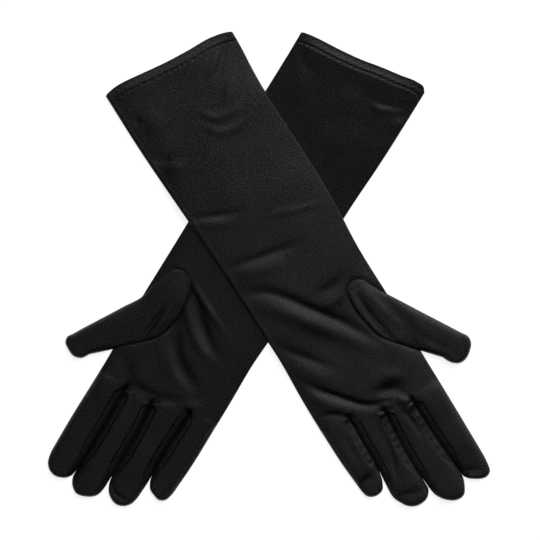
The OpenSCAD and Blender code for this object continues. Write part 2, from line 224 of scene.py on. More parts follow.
# %% Fold tools
FOLDS = {
    "right": [
        (-2.1, 4.0, [(213, 20), (222, 10), (233, -3), (243, -16), (250, -32)]),
        (1.2, 3.0, [(226, 18), (234, 9), (243, -1), (250, -12), (255, -22)]),
        (-2.2, 5.0, [(236, 18), (249, 12), (260, 4), (269, -6), (275, -18), (279, -30)]),
        (0.9, 4.6, [(259, 19), (269, 8), (277, -4), (285, -20)]),
        (1.2, 2.0, [(204, 30), (211, 18), (221, -2), (231, -25)]),
        (-1.1, 4.0, [(302, 22), (300, 8), (298, -6), (291, -20), (284, -30)]),
        (1.0, 5.0, [(292, -18), (291, -28), (288, -36)]),
        (0.7, 3.5, [(310, 12), (309, 5)]),
        (-0.7, 5.0, [(286, 44), (290, 30), (298, 24)]),
        (0.9, 6.0, [(282, 30), (292, 14), (296, 2)]),
        (1.0, 6.0, [(304, 38), (314, 35), (326, 37)]),
        (-0.8, 1.8, [(372, -8), (378, -14), (378, -25)]),
        (-0.5, 6.0, [(330, 33), (350, 32), (366, 33)]),
        (-0.7, 3.0, [(311, -16), (320, -15), (334, -17)]),
        (-0.8, 3.0, [(8, -46), (14, -36), (16, -26)]),
        (0.7, 3.0, [(12, -40), (20, -33), (22, -22)]),
        (-0.6, 2.6, [(4, -48), (12, -50), (20, -47)]),
        (0.7, 3.5, [(18, -48), (28, -47)]),
        (-0.5, 4.0, [(12, 46), (20, 38), (24, 24)]),
    ],
    "left": [
        (-1.0, 3.2, [(6, 47), (14, 37), (27, 22)]),
        (0.9, 3.0, [(8, 38), (16, 30), (24, 19)]),
        (0.6, 2.6, [(34, 38), (36, 30), (44, 22)]),
        (-0.9, 3.2, [(20, -47), (25, -44)]),
        (-1.0, 4.0, [(55, -51), (58, -44), (60, -38)]),
        (1.0, 4.0, [(67, -48), (68, -40), (70, -33)]),
        (0.9, 3.0, [(43, 0), (52, 6), (55, 18), (52, 32)]),
        (0.9, 3.0, [(54, -4), (64, 4), (67, 20), (62, 36)]),
        (0.8, 8.0, [(18, -40), (30, -36), (40, -38)]),
        (-1.2, 3.0, [(108, -50), (113, -40), (118, -29), (124, -14)]),
        (0.9, 4.0, [(117, -48), (121, -38), (127, -25)]),
        (0.6, 2.4, [(136, -3), (142, 14), (148, 32), (151, 43)]),
        (-1.5, 3.4, [(156, -48), (158, -36), (161, -24), (164, -8), (168, 10)]),
        (1.2, 6.0, [(166, -46), (168, -34), (171, -20), (175, -4)]),
        (-2.3, 3.8, [(178, -51), (182, -40), (187, -30), (199, -20), (211, -12), (225, -2), (238, 7), (252, 15),
                     (264, 22)]),
        (1.9, 5.4, [(190, -49), (196, -38), (208, -27), (222, -17), (238, -5), (252, 5), (264, 13)]),
        (-1.0, 4.2, [(209, 1), (210, 12), (208, 24)]),
        (0.9, 4.0, [(219, 0), (220, 10), (217, 20)]),
        (-1.3, 3.4, [(226, -45), (236, -39), (248, -30), (262, -19)]),
        (0.8, 4.6, [(243, -46), (254, -38), (264, -30), (274, -20)]),
        (-2.3, 2.9, [(261, -43), (270, -38), (280, -30), (290, -22), (299, -14), (305, -4), (307, 4)]),
        (1.1, 4.0, [(270, -46), (280, -40), (291, -31), (299, -24)]),
        (-2.2, 4.6, [(296, -2), (299, 7), (303, 15), (309, 18)]),
        (1.0, 4.5, [(288, 8), (292, 18), (298, 26)]),
        (1.3, 3.0, [(309, 10), (313, 15), (318, 17)]),
        (-1.9, 3.2, [(314, -9), (326, -12), (340, -15), (352, -19), (362, -22)]),
        (-1.5, 2.6, [(315, 9), (324, 11), (334, 12), (346, 12)]),
        (-1.2, 3.2, [(352, -50), (350, -42), (349, -35)]),
        (-0.9, 3.0, [(312, -37), (322, -39), (334, -40)]),
        (-0.7, 3.0, [(383, 22), (386, 30), (389, 36)]),
        (-0.6, 2.4, [(372, -30), (376, -20), (380, -8)]),
        (-1.0, 2.4, [(290, -46), (293, -38), (299, -30)]),
        (0.6, 7.0, [(262, 40), (280, 30), (296, 34)]),
    ],
}


def nearest_on(path, u, v):
    """For each point (u, v): how far along the path the nearest place is (0 to 1), and the distance to it."""
    start, step = path[:-1], np.diff(path, axis=0)
    q = np.stack([u.ravel(), v.ravel()], 1)[:, None, :]
    t = np.clip(((q - start) * step).sum(-1) / np.maximum((step**2).sum(-1), 1e-12), 0.0, 1.0)
    gap = np.linalg.norm(q - start - t[..., None] * step, axis=-1)
    k = gap.argmin(1)
    row = np.arange(len(k))
    return ((k + t[row, k]) / len(step)).reshape(u.shape), gap[row, k].reshape(u.shape)


def folds_at(side, u, v):
    """Sum of all folds: height times a bell of the distance, eased to nothing at both ends of each path."""
    total = np.zeros_like(u)
    for height, width, points in FOLDS[side]:
        path = path_through(points, 12)
        reach = 3.2 * width
        near = ((u > path[:, 0].min() - reach) & (u < path[:, 0].max() + reach)
                & (v > path[:, 1].min() - reach) & (v < path[:, 1].max() + reach))
        s, gap = nearest_on(path, u[near], v[near])
        total[near] += height * np.exp(-(gap / width) ** 2) * np.sin(np.pi * np.clip(s, 0.04, 0.96)) ** 0.7
    return total


def slack_at(side, u, v):
    """Slow undulation of slack cloth: seeded sine waves, 14 to 90 millimetres long, the short ones lower."""
    rng = np.random.default_rng({"right": 11, "left": 23}[side])
    total = np.zeros_like(u)
    for _ in range(16):
        angle, length = rng.uniform(0, math.pi), 14 * 6.4 ** rng.uniform(0, 1)
        phase = rng.uniform(0, 2 * math.pi)
        wave = np.sin(2 * math.pi * (u * math.cos(angle) + v * math.sin(angle)) / length + phase)
        total += wave * (length / 90) ** 1.3
    return total / 3


print("folds:", {side: len(FOLDS[side]) for side in SIDES})

# %% [markdown]
# ## How the pair lies
# The lower glove is pressed flat. The upper one follows the table, climbs over the lower sleeve and comes
# down again: its lift is full over the sleeve and eases out beside it.

# %% Heights over the table
TABLE_GAP = 0.42      # inner surface of the lower layer over the table; the cloth itself is 0.35 thick
SLEEVE_FULL = 3.4     # height of an empty sleeve over its middle
EDGE_FULL = 1.3       # height at the turned side edges
FINGER_FULL = 4.3     # height of an empty finger
OVER_LIFT = 2.8       # how much the upper glove is raised at the crossing
HEM_DEPTH = 7.5
CUFF_DROOP = {"right": 0.85, "left": 0.7}  # share of its height that the sleeve loses at the cuff edge
CUFF_REACH = {"right": 10.5, "left": 8.5}


def lift_at(side, u, v):
    """Rise of the upper glove: full within 54 mm of the lower glove's middle line, gone 36 mm further."""
    if side == "right":
        return np.zeros_like(u)
    beside = np.abs(distance_from_lower_glove(u, v))
    return OVER_LIFT * smoothstep((90 - beside) / 36)


def pressed_at(side, u, v):
    """How much the lower glove is pressed flat by the upper one: 1 under it, 0 away from it."""
    if side == "left":
        return np.zeros_like(u)
    xy = ORIGIN["right"] + u[..., None] * ALONG["right"] + v[..., None] * ACROSS["right"]
    beside = np.abs((xy - ORIGIN["left"]) @ ACROSS["left"])
    return smoothstep((78 - beside) / 26)


def cuff_distance(side, u, v):
    return u - curve(CUFF_EDGE[side], v)


def hem_at(side, u, v):
    """Doubled cloth of the hem: a low round band, mottled by its stitches, with a puckered line at its edge."""
    d = cuff_distance(side, u, v)
    band = 0.4 * smoothstep((HEM_DEPTH - d) / 1.6)
    mottle = np.sin(v * 2 * math.pi / 4.3 + 2.0 * np.sin(d / 2.1)) * np.sin(d * 2 * math.pi / 5.1 + v / 3.7)
    mottle = 0.13 * mottle * smoothstep((HEM_DEPTH + 6 - d) / 8)
    pucker = 1 + 0.75 * np.sin(v * 2 * math.pi / 5.3 + 1.9 * np.sin(v / 6.1))
    return band + mottle - 0.27 * pucker * np.exp(-((d - HEM_DEPTH) / 1.1) ** 2)


GUSSET_SEAM = {side: np.concatenate([path_through(THUMB_LOWER[side][8::-1], 60),
                                     path_through(THUMB_UPPER[side][:5], 30)]) for side in SIDES}


def gusset_groove(side, u, v):
    """The palm dips just outside the oval seam round the thumb."""
    seam = GUSSET_SEAM[side]
    near = (u > 196) & (u < 296) & (v > 8)
    total = np.zeros_like(u)
    _, gap = nearest_on(seam, u[near], v[near])
    total[near] = -0.9 * np.exp(-(gap / 1.7) ** 2)
    return total


CROTCHES = {side: [(ROOT_LINE[side][k][1], ROOT_LINE[side][k][0]) for k in (3, 2, 1)] for side in SIDES}


def puckers_at(side, u, v):
    """Small gathers that radiate from each finger crotch: a cosine of the angle that dies out with distance."""
    total = np.zeros_like(u)
    for k, (cu, cv) in enumerate(CROTCHES[side]):
        distance = np.hypot(u - cu, v - cv)
        angle = np.arctan2(v - cv, u - cu)
        fan = np.cos((2 + k % 2) * angle + 1.9 * k + 0.6 + 0.35 * distance) + 0.5 * np.cos(5 * angle + 2 * k)
        total += 0.34 * np.exp(-((distance - 3.5) / 3.2) ** 2) * fan
    return total


def relief_at(side, u, v):
    """Everything that raises or lowers the upper layer of cloth: folds, slack, hem, puckers and seam dip."""
    free = 1 - pressed_at(side, u, v)
    slack = 0.55 * slack_at(side, u, v)
    return (free * (folds_at(side, u, v) + slack) + hem_at(side, u, v) + puckers_at(side, u, v)
            + gusset_groove(side, u, v))


# %% [markdown]
# ## Columns across the hand
# The palm and the fingers share their columns, so that a finger grows out of the palm with no gap. Each
# finger takes one block: a rounded edge, a narrow band, the fourchette seam, the front, and the same
# again mirrored. Three columns sit close together at a seam, because a stitched seam is a sharp groove.

# %% Column layout
EDGE_STEPS = np.array([1.0, 0.7, 0.38])                    # 1 at the very edge, 0 where the face begins
FRONT_COLUMNS = 13
SEAM_HALF = 0.55
BAND = {"index": (1.0, 4.6), "middle": (4.4, 4.6), "ring": (4.4, 4.6), "little": (4.4, 2.2)}
GROOVE_SHAPE = np.concatenate([[0, 0, 0, 0.5, 0.5, 0.55, 1.0, 0.45], np.zeros(FRONT_COLUMNS),
                               [0.45, 1.0, 0.55, 0.5, 0.5, 0, 0, 0]])
ROUND = np.concatenate([EDGE_STEPS, np.zeros(5 + FRONT_COLUMNS + 5), EDGE_STEPS[::-1]])
BLOCK = len(ROUND)
IS_LOW_HALF = np.arange(BLOCK) >= BLOCK // 2


def block_distances(width, band_high, band_low):
    """Distance of each column from the block's high edge, for every row: edge, band, seam, front, mirrored."""
    width = np.asarray(width, float)[:, None]
    edge = np.minimum(0.9, 0.06 * width)
    half = np.minimum(SEAM_HALF, 0.035 * width)
    high = np.clip(np.asarray(band_high, float)[:, None], edge + 2 * half, 0.4 * width)
    low = np.clip(np.asarray(band_low, float)[:, None], edge + 2 * half, 0.4 * width)
    rounded = edge * (1 - np.sin(EDGE_STEPS * math.pi / 2))
    first = np.concatenate([rounded, edge, mix(edge, high - half, 0.5), high - half, high, high + half], 1)
    last = np.concatenate([rounded, edge, mix(edge, low - half, 0.5), low - half, low, low + half], 1)
    inner = np.linspace(0, 1, FRONT_COLUMNS + 2)[1:-1]
    front = mix(first[:, -1:], width - last[:, -1:], inner)
    return np.concatenate([first, front, width - last[:, ::-1]], 1)


COLUMNS = 4 * (BLOCK - 1) + 1
FIRST = [k * (BLOCK - 1) for k in range(4)]                # first column of each finger's block
print(BLOCK, "columns a finger,", COLUMNS, "across the palm")

# %% [markdown]
# ## The fingers
# A finger is an empty tube of cloth lying flat: its width follows the lines between the fingers and its tip
# closes along its own outline. Its height over the table is a low dome, which is one minus a power of the
# distance from the middle: a high power is flat on top and rounds over close to both edges.

# %% Finger grids
FINGER_ROWS = 64
TIP_ROWS = 20
TIP_FALL = 3.0
FINGER_GAP = 0.28


def dome(q, power=2.6):
    return 1 - np.abs(np.clip(q, -1, 1)) ** power


def finger_grid(side, k):
    """Upper and lower sheets of finger k as (rows, columns) arrays of u, v, z.

    Body rows run from the root line to the shoulder; tip rows run on to the outline, closer together as
    the sine of an even angle. Both sheets close up over the last TIP_FALL millimetres as a quarter round."""
    name = FINGERS[k]
    high_line, low_line = FINGER_LINES[side][k], FINGER_LINES[side][k + 1]
    tip, shoulder = FINGER_TIP[side][k], SHOULDER[side][k]
    body = np.linspace(0, 1, FINGER_ROWS)
    angle = np.linspace(0, math.pi / 2, TIP_ROWS + 1)[1:]
    s = body * 0.9
    gap = FINGER_GAP * smoothstep(s / 0.06)
    roots = [curve(ROOT_LINE[side], np.array(line[0][1])) for line in (high_line, low_line)]
    high = curve(high_line, mix(roots[0], shoulder, body)) - gap * (k > 0)
    low = curve(low_line, mix(roots[1], shoulder, body)) + gap * (k < 3)
    end = smoothstep((s - 0.66) / 0.24)
    start = smoothstep(s / 0.07)
    bands = [np.full_like(s, b) if b < 2.5 else mix(1.6, b, start) * (1 - 0.75 * end) for b in BAND[name]]
    v = high[:, None] - block_distances(high - low, *bands)
    root = curve(ROOT_LINE[side], v[0])
    u = mix(root[None, :], shoulder, body[:, None])
    outline = path_through([(low[-1], shoulder), *TIP_OUTLINE[side][k], (high[-1], shoulder)], 120)
    reach = np.interp(v[-1], np.maximum.accumulate(outline[:, 0]), outline[:, 1]) - shoulder
    u = np.concatenate([u, shoulder + reach[None, :] * np.sin(angle)[:, None]])
    v = np.concatenate([v, np.repeat(v[-1:], TIP_ROWS, 0)])
    from_end = np.clip(reach[None, :] * (1 - np.sin(angle)[:, None]) / TIP_FALL, 0, 1)
    fall = 1 - (1 - np.sqrt(1 - (1 - from_end) ** 2)) * smoothstep(3 * np.sin(angle)[:, None])
    thick = np.concatenate([np.ones((FINGER_ROWS, BLOCK)), fall])
    rows = np.concatenate([np.arange(FINGER_ROWS), np.full(TIP_ROWS, FINGER_ROWS - 1)])
    start, end, high, low = start[rows], end[rows], high[rows], low[rows]
    q = (v - (high + low)[:, None] / 2) / ((high - low)[:, None] / 2)
    face = TABLE_GAP + EDGE_FULL + (FINGER_FULL - EDGE_FULL) * dome(q, 4.2)
    middle_height = TABLE_GAP + EDGE_FULL * 0.6
    over_edge = np.cos(ROUND * math.pi / 2)[None, :]
    groove_high, groove_low = [1.0 if b > 2.5 else (0.6 if b > 2 else 0.0) for b in BAND[name]]
    groove = GROOVE_SHAPE * np.where(IS_LOW_HALF, groove_low, groove_high)
    gather = 1 + 0.2 * np.sin(u * 2 * math.pi / 7.7 + 2.1 * k + 2.3 * np.sin(u / 9.0))
    groove = 0.95 * groove[None, :] * gather * (start * (1 - 0.7 * end))[:, None]
    top = middle_height + (face - middle_height) * over_edge * thick - groove * over_edge * thick
    bottom = middle_height - (middle_height - TABLE_GAP) * over_edge * thick
    return u, v, top, bottom, thick * over_edge


finger_grids = {(side, k): finger_grid(side, k) for side in SIDES for k in range(4)}
print("finger grids:", finger_grids["right", 0][0].shape)

# %% [markdown]
# ## The palm and the sleeve
# One grid runs from the cuff to the finger roots. Far from the fingers its columns are spread evenly, and
# near them they slide into the fingers' own places, so that the last row is the fingers' first row. The
# rows are close together at the hem and at the roots, where there is more to show.

# %% Palm grid
PALM_LENGTH = 308  # nominal millimetres from the cuff to the finger roots, for spacing rows and for easing


def palm_rows(length):
    """Row places from 0 to 1: half a millimetre apart at the hem, 1.4 apart on the sleeve, 0.7 at the roots."""
    hem = np.arange(0, 11, 0.5)
    sleeve = np.arange(11, length - 14, 1.45)
    roots = np.linspace(length - 14, length, 22)
    return np.concatenate([hem, sleeve, roots]) / length


def palm_grid(side):
    """Upper and lower sheets of sleeve and palm as arrays of u, v, z, ending in the fingers' first rows."""
    s = palm_rows(PALM_LENGTH)[:, None]
    along = s * PALM_LENGTH
    firsts = [[grid[0] for grid in finger_grids[side, k]] for k in range(4)]
    joined = [np.concatenate([firsts[k][n][(1 if k else 0):] for k in range(4)]) for n in range(5)]
    root_u, root_v, root_top, root_bottom, root_edge = joined
    u_line = mix(curve(CUFF_EDGE[side], 0.0), curve(ROOT_LINE[side], 0.0), s[:, 0])
    high, low = curve(THUMB_EDGE[side], u_line), curve(LITTLE_EDGE[side], u_line)
    width = high - low
    side_blocks = block_distances(np.full(len(s), 24.0), np.full(len(s), 1.6), np.full(len(s), 2.2))
    head = side_blocks[:, :8]
    tail = 24.0 - side_blocks[:, -8:]
    inner = np.linspace(0, 1, COLUMNS - 14)[1:-1]
    middle = mix(head[:, -1:], width[:, None] - tail[:, :1], inner)
    v_even = high[:, None] - np.concatenate([head, middle, width[:, None] - tail], 1)
    toward = smoothstep((along - 238) / 70)
    v = mix(v_even, root_v[None, :], toward)
    u = mix(curve(CUFF_EDGE[side], v), curve(ROOT_LINE[side], v), s)
    last = smoothstep((along - 301) / 7)
    q = (v - (high + low)[:, None] / 2) / (width[:, None] / 2)
    pressed = pressed_at(side, u, v)
    full = mix(SLEEVE_FULL, 1.9, pressed)
    full = full + 0.8 * smoothstep((26 - cuff_distance(side, u, v)) / 26)
    full = mix(full, FINGER_FULL - 0.3, smoothstep((along - 230) / 60))
    square = mix(3.0, 7.0, smoothstep((along - 200) / 90))
    face = TABLE_GAP + EDGE_FULL + (full - EDGE_FULL) * dome(q, square)
    droop = CUFF_DROOP[side] * (1 - smoothstep(cuff_distance(side, u, v) / CUFF_REACH[side]))
    face = face - droop * (face - TABLE_GAP - EDGE_FULL)
    middle_height = TABLE_GAP + EDGE_FULL * 0.6
    edge_even = np.ones(COLUMNS)
    edge_even[:3] = np.cos(EDGE_STEPS * math.pi / 2)
    edge_even[-3:] = edge_even[:3][::-1]
    groove = np.zeros(COLUMNS)
    groove[-8:] = GROOVE_SHAPE[-8:] * -0.25
    top_even = middle_height + (face - middle_height) * edge_even - groove * edge_even
    bottom_even = middle_height - (middle_height - TABLE_GAP) * edge_even
    top = mix(top_even, root_top[None, :], last)
    bottom = mix(bottom_even, root_bottom[None, :], last)
    edge = mix(np.broadcast_to(edge_even, v.shape), root_edge[None, :], last)
    return u, v, top, bottom, edge


def settle(side, grid):
    """Adds the relief to the upper sheet and lifts both sheets where the upper glove crosses the lower."""
    u, v, top, bottom, edge = grid
    lift = lift_at(side, u, v)
    lower = bottom + lift
    upper = np.maximum(top + relief_at(side, u, v) * edge + lift, lower + 0.1 * edge)
    return u, v, upper, lower


palm_grids = {side: settle(side, palm_grid(side)) for side in SIDES}
finger_grids = {key: settle(key[0], grid) for key, grid in finger_grids.items()}
print("palm grids:", {side: palm_grids[side][0].shape for side in SIDES})

# %% [markdown]
# ## From grids to cloth pieces
# A patch of a grid becomes a mesh with a real thickness: the grid is the inner side, the same faces moved
# outwards along their normals are the outer side, and a rim joins them along every open edge. The normals
# are worked out once for the whole glove and shared by all its pieces, so that light runs over a seam
# without a break.

# %% Mesh tools
CLOTH = 0.35


def quad_faces(rows, columns, flip):
    """Corner numbers of all quads of a grid, turned over when flip is true."""
    i = (np.arange(rows - 1)[:, None] * columns + np.arange(columns - 1)[None, :]).ravel()
    faces = np.stack([i, i + 1, i + columns + 1, i + columns], 1)
    return faces[:, ::-1] if flip else faces


def merged(points, faces):
    """Joins points that share a place (to a thousandth of a millimetre); returns the map and the faces."""
    keys = np.round(points / (MM * 0.001)).astype(np.int64)
    _, first, back = np.unique(keys, axis=0, return_index=True, return_inverse=True)
    return first, back.ravel()[faces]


def shared_normals(patches):
    """Normals of all patches together: the area-weighted mean of the faces round each place."""
    points = np.concatenate([p["points"].reshape(-1, 3) for p in patches])
    starts = np.cumsum([0] + [p["points"][..., 0].size for p in patches])
    faces = np.concatenate([quad_faces(*p["points"].shape[:2], p["flip"]) + start
                            for p, start in zip(patches, starts)])
    first, joined = merged(points, faces)
    places = points[first]
    normal = np.cross(places[joined[:, 2]] - places[joined[:, 0]], places[joined[:, 3]] - places[joined[:, 1]])
    total = np.zeros_like(places)
    for corner in range(4):
        np.add.at(total, joined[:, corner], normal)
    total /= np.maximum(np.linalg.norm(total, axis=1, keepdims=True), 1e-12)
    back = np.empty(len(points), int)
    back[faces.ravel()] = joined.ravel()
    for p, start in zip(patches, starts):
        count = p["points"][..., 0].size
        p["normals"] = total[back[start:start + count]].reshape(p["points"].shape)


def cut(patch, rows=slice(None), columns=slice(None)):
    """Part of a patch, as a view of its rows and columns."""
    part = {key: patch[key][rows, columns] for key in ("points", "normals", "flat")}
    part["flip"] = patch["flip"]
    return part


def cloth_piece(name, parts, material, thickness=CLOTH):
    """Mesh object of several patches with a thickness: outer faces, inner faces and the rim between them.

    The grid itself is the inner surface; the outer one is the grid moved out along its normals."""
    points = np.concatenate([p["points"].reshape(-1, 3) for p in parts])
    normals = np.concatenate([p["normals"].reshape(-1, 3) for p in parts])
    flat = np.concatenate([p["flat"].reshape(-1, 2) for p in parts])
    starts = np.cumsum([0] + [p["points"][..., 0].size for p in parts])
    faces = np.concatenate([quad_faces(*p["points"].shape[:2], p["flip"]) + a for p, a in zip(parts, starts)])
    first, faces = merged(points, faces)
    points, normals, flat = points[first], normals[first], flat[first]
    doubled = sum(faces[:, k] == faces[:, (k + 1) % 4] for k in range(4))
    faces = faces[doubled <= 1]
    doubled = doubled[doubled <= 1]
    count = len(points)
    edges = np.concatenate([faces[:, [k, (k + 1) % 4]] for k in range(4)])
    edges = edges[edges[:, 0] != edges[:, 1]]
    codes = edges[:, 0] * count + edges[:, 1]
    open_edges = edges[~np.isin(edges[:, 1] * count + edges[:, 0], codes)]
    rim = np.stack([open_edges[:, 1], open_edges[:, 0], open_edges[:, 0] + count, open_edges[:, 1] + count], 1)
    outer = points + normals * thickness * MM
    everything = np.concatenate([outer, points])
    layers = np.concatenate([faces, faces[:, ::-1] + count])
    tidy = [[c for n, c in enumerate(f) if c != f[n - 1]] if d else f.tolist()
            for f, d in zip(layers, np.concatenate([doubled, doubled]))]
    mesh = bpy.data.meshes.new(f"{name}_cloth")
    mesh.from_pydata(everything, [], tidy + rim.tolist())
    mesh.polygons.foreach_set("use_smooth", np.ones(len(mesh.polygons), bool))
    corners = np.empty(len(mesh.loops), np.int32)
    mesh.loops.foreach_get("vertex_index", corners)
    both = np.concatenate([normals, -normals])
    corner_normals = both[corners]
    span = everything[rim]
    rim_normal = np.cross(span[:, 2] - span[:, 0], span[:, 3] - span[:, 1])
    rim_normal /= np.maximum(np.linalg.norm(rim_normal, axis=1, keepdims=True), 1e-12)
    corner_normals[len(corners) - 4 * len(rim):] = np.repeat(rim_normal, 4, axis=0)
    mesh.normals_split_custom_set(corner_normals.astype(np.float32))
    layer = mesh.uv_layers.new(name="Cloth")
    layer.data.foreach_set("uv", np.concatenate([flat, flat])[corners].astype(np.float32).ravel())
    mesh.materials.append(material)
    piece = bpy.data.objects.new(f"{name}_cloth", mesh)
    bpy.context.scene.collection.objects.link(piece)
    return piece


def patch_of(side, u, v, z, lower=False):
    """A grid as a patch: places in metres, cloth coordinates in centimetres, and which way its faces look."""
    return {"points": to_world(side, u, v, z), "flat": np.stack([u, v], -1) / 10.0,
            "flip": (side == "right") != lower}


# %% [markdown]
# ## Black satin
# Stretch satin is a fine, dense cloth with long floating threads. It is very dark, with a soft broad shine,
# and close up its surface shows a grain of single threads. One node group makes that grain from the piece's
# own cloth coordinates; the Principled shader itself, with its sheen, stays in each material.

# %% Materials
def build_grain_group():
    """Cloth grain: fine threads along the length, slubs across them, and slow changes of tone."""
    group = bpy.data.node_groups.new("Satin grain", "ShaderNodeTree")
    sockets = (("Tone", "NodeSocketColor"), ("Roughness", "NodeSocketFloat"), ("Shine", "NodeSocketFloat"),
               ("Height", "NodeSocketFloat"))
    for name, kind in sockets:
        group.interface.new_socket(name, in_out="OUTPUT", socket_type=kind)
    for name, value in (("Thread size", 1.0), ("Tone dark", 0.006), ("Tone light", 0.014)):
        socket = group.interface.new_socket(name, in_out="INPUT", socket_type="NodeSocketFloat")
        socket.default_value = value
    node, link = group.nodes.new, group.links.new
    inside, outside = node("NodeGroupInput"), node("NodeGroupOutput")
    uv = node("ShaderNodeUVMap")
    uv.uv_map = "Cloth"
    scaled = node("ShaderNodeVectorMath")
    scaled.operation = "SCALE"
    link(uv.outputs["UV"], scaled.inputs[0])
    link(inside.outputs["Thread size"], scaled.inputs["Scale"])

    def noise(stretch, scale, detail):
        mapping = node("ShaderNodeMapping")
        mapping.inputs["Scale"].default_value = stretch
        link(scaled.outputs[0], mapping.inputs["Vector"])
        texture = node("ShaderNodeTexNoise")
        texture.inputs["Scale"].default_value = scale
        texture.inputs["Detail"].default_value = detail
        link(mapping.outputs["Vector"], texture.inputs["Vector"])
        return texture.outputs["Fac"]

    def combine(operation, a, b):
        math_node = node("ShaderNodeMath")
        math_node.operation = operation
        for socket, value in zip(math_node.inputs, (a, b)):
            if isinstance(value, (int, float)):
                socket.default_value = value
            else:
                link(value, socket)
        return math_node.outputs[0]

    def ranged(value, low, high, to_low, to_high):
        ramp = node("ShaderNodeMapRange")
        link(value, ramp.inputs["Value"])
        for socket, number in (("From Min", low), ("From Max", high), ("To Min", to_low), ("To Max", to_high)):
            if isinstance(number, float):
                ramp.inputs[socket].default_value = number
            else:
                link(number, ramp.inputs[socket])
        return ramp.outputs["Result"]

    threads = noise((1.0, 5.0, 1.0), 9.0, 2.0)
    grain = noise((1.0, 1.3, 1.0), 11.0, 3.0)
    cloudy = noise((1.0, 1.0, 1.0), 0.55, 3.0)
    height = combine("ADD", combine("MULTIPLY", threads, 0.5), combine("MULTIPLY", grain, 0.8))
    link(height, outside.inputs["Height"])
    rough = combine("ADD", combine("MULTIPLY", grain, 0.22), combine("MULTIPLY", cloudy, 0.16))
    link(combine("ADD", rough, 0.17), outside.inputs["Roughness"])
    glints = combine("ADD", combine("MULTIPLY", grain, 0.75), combine("MULTIPLY", threads, 0.25))
    link(ranged(glints, 0.36, 0.64, 0.05, 0.95), outside.inputs["Shine"])
    blend = combine("ADD", combine("MULTIPLY", grain, 0.6), combine("MULTIPLY", cloudy, 0.4))
    tone = ranged(blend, 0.35, 0.65, inside.outputs["Tone dark"], inside.outputs["Tone light"])
    shade = node("ShaderNodeCombineColor")
    for channel in ("Red", "Green", "Blue"):
        link(tone, shade.inputs[channel])
    link(shade.outputs["Color"], outside.inputs["Tone"])
    return group


GRAIN = build_grain_group()


def satin_material(name, dark, light, thread_size, bump, sheen):
    """A black satin: grain on tone, roughness and bump, with sheen for the soft shine at grazing angles."""
    material = bpy.data.materials.new(name)
    material.use_nodes = True
    nodes, links = material.node_tree.nodes, material.node_tree.links
    shader = nodes["Principled BSDF"]
    grain = nodes.new("ShaderNodeGroup")
    grain.node_tree = GRAIN
    grain.inputs["Thread size"].default_value = thread_size
    grain.inputs["Tone dark"].default_value = dark
    grain.inputs["Tone light"].default_value = light
    relief = nodes.new("ShaderNodeBump")
    relief.inputs["Strength"].default_value = bump
    relief.inputs["Distance"].default_value = 0.0004
    links.new(grain.outputs["Height"], relief.inputs["Height"])
    links.new(grain.outputs["Tone"], shader.inputs["Base Color"])
    links.new(grain.outputs["Roughness"], shader.inputs["Roughness"])
    links.new(grain.outputs["Shine"], shader.inputs["Specular IOR Level"])
    links.new(relief.outputs["Normal"], shader.inputs["Normal"])
    shader.inputs["Sheen Weight"].default_value = sheen
    shader.inputs["Sheen Roughness"].default_value = 0.3
    shader.inputs["Sheen Tint"].default_value = (0.5, 0.5, 0.52, 1.0)
    return material


SATIN = satin_material("Black satin", 0.0008, 0.0045, 1.0, 0.9, 0.0)
# The hem satin's tone is set lighter than the sleeve satin's. This is painted shine for the bright band along
# the cuff edge, not a colour of the doubled cloth.
HEM_SATIN_PAINTED_SHINE = satin_material("Black satin hem with painted shine", 0.001, 0.006, 1.0, 0.9, 0.01)
STRIP_SATIN = satin_material("Black satin finger strips", 0.0008, 0.0045, 1.1, 0.9, 0.0)
THREAD = satin_material("Black sewing thread", 0.004, 0.012, 2.5, 0.5, 0.05)

# %% [markdown]
# ## Sewing the gloves together
# All patches of one glove are laid out, their shared normals are worked out, and then each sub-part is cut
# out of its grid: palm and back of the trank, and for each finger the front, the back and the fourchettes.

# %% Build palm, back and fingers
def ride_or_blend(piece):
    """Bakes the piece's placement into its mesh and returns it."""
    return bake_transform(piece)


